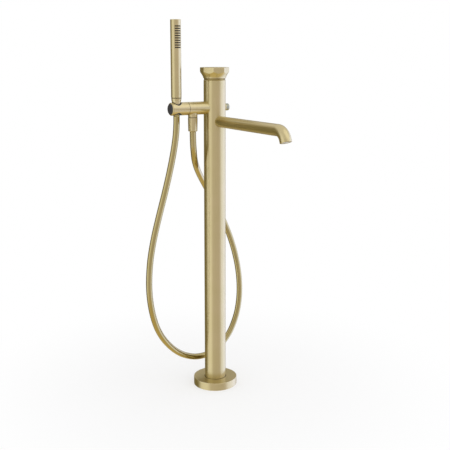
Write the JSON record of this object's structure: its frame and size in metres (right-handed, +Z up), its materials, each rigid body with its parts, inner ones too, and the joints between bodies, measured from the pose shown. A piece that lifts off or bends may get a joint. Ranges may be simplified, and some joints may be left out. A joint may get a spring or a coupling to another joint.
{
  "type": "floor standing bath filler",
  "caption": "Upright column tap that stands on the floor beside a bath, with a bent spout, a mixer knob, a diverter and a stick handset on a hose.",
  "frame": {"origin": "column's axis at floor level, centre of the bolt circle in the floor plate's underside", "axes": "+Z up along the column, -Y along the spout, -X along the arm to the handset, +X along the diverter knob"},
  "size_m": [0.3375, 0.434, 0.961],
  "materials": {
    "brushed_brass": "brushed satin",
    "raw_brass": "machined",
    "steel": "zinc plated",
    "copper": "drawn tube",
    "white_plastic": "matt",
    "black_plastic": "satin",
    "black_rubber": "matt",
    "hose_sheath": "smooth metallic sheath"
  },
  "bodies": {
    "column": {"floor_plate": "steel", "base_cover": "brushed_brass", "column_tube": "brushed_brass", "hot_pipe": "copper", "cold_pipe": "copper", "valve_body": "raw_brass", "mixer_cartridge": "white_plastic", "cartridge_nut": "raw_brass", "column_cap": "raw_brass", "glide_ring": "black_plastic", "spout_tube": "brushed_brass", "spout_nipple": "raw_brass", "spout_seal": "black_rubber", "aerator_housing": "brushed_brass", "aerator_insert": "white_plastic", "arm_core": "raw_brass", "arm_sleeve": "brushed_brass", "arm_washer": "black_plastic", "holder_spindle": "raw_brass", "outlet_nipple": "brushed_brass", "check_valve": "white_plastic", "outlet_washer": "black_rubber", "outlet_nut": "brushed_brass", "hose": "hose_sheath", "diverter_bush": "brushed_brass"},
    "knob": {"mixer_stem": "raw_brass", "mixer_knob": "brushed_brass", "knob_screw": "steel"},
    "diverter": {"diverter_stem": "raw_brass", "diverter_seal": "black_rubber", "diverter_knob": "brushed_brass"},
    "holder": {"holder_barrel": "brushed_brass", "holder_liner": "black_plastic", "end_plug": "black_plastic", "holder_screw": "steel", "hose_slack": "hose_sheath"},
    "hose_end": {"hose_swivel_ring": "raw_brass"},
    "handset": {"cone_nut": "brushed_brass", "handset_washer": "black_rubber", "handset_connector": "raw_brass", "handset_tube": "brushed_brass", "handset_core": "white_plastic", "nozzle_strip": "black_rubber", "handset_cap": "brushed_brass"}
  },
  "joints": [
    {"name": "knob_turn", "type": "hinge", "parent": "column", "child": "knob", "pos_m": [0, 0, 0.83], "axis": [0, 0, 1], "range_deg": [0, 115]},
    {"name": "diverter_pull", "type": "slide", "parent": "column", "child": "diverter", "axis": [1, 0, 0], "range_m": [0, 0.012]},
    {"name": "holder_swivel", "type": "hinge", "parent": "column", "child": "holder", "pos_m": [-0.09, 0, 0.744], "axis": [1, 0, 0], "range_deg": [-30, 30]},
    {"name": "handset_lift", "type": "slide", "parent": "holder", "child": "hose_end", "axis": [0, 0, 1], "range_m": [0, 0.06]},
    {"name": "handset_turn", "type": "hinge", "parent": "hose_end", "child": "handset", "pos_m": [-0.11, 0, 0.76], "axis": [0, 0, 1], "continuous": true}
  ]
}
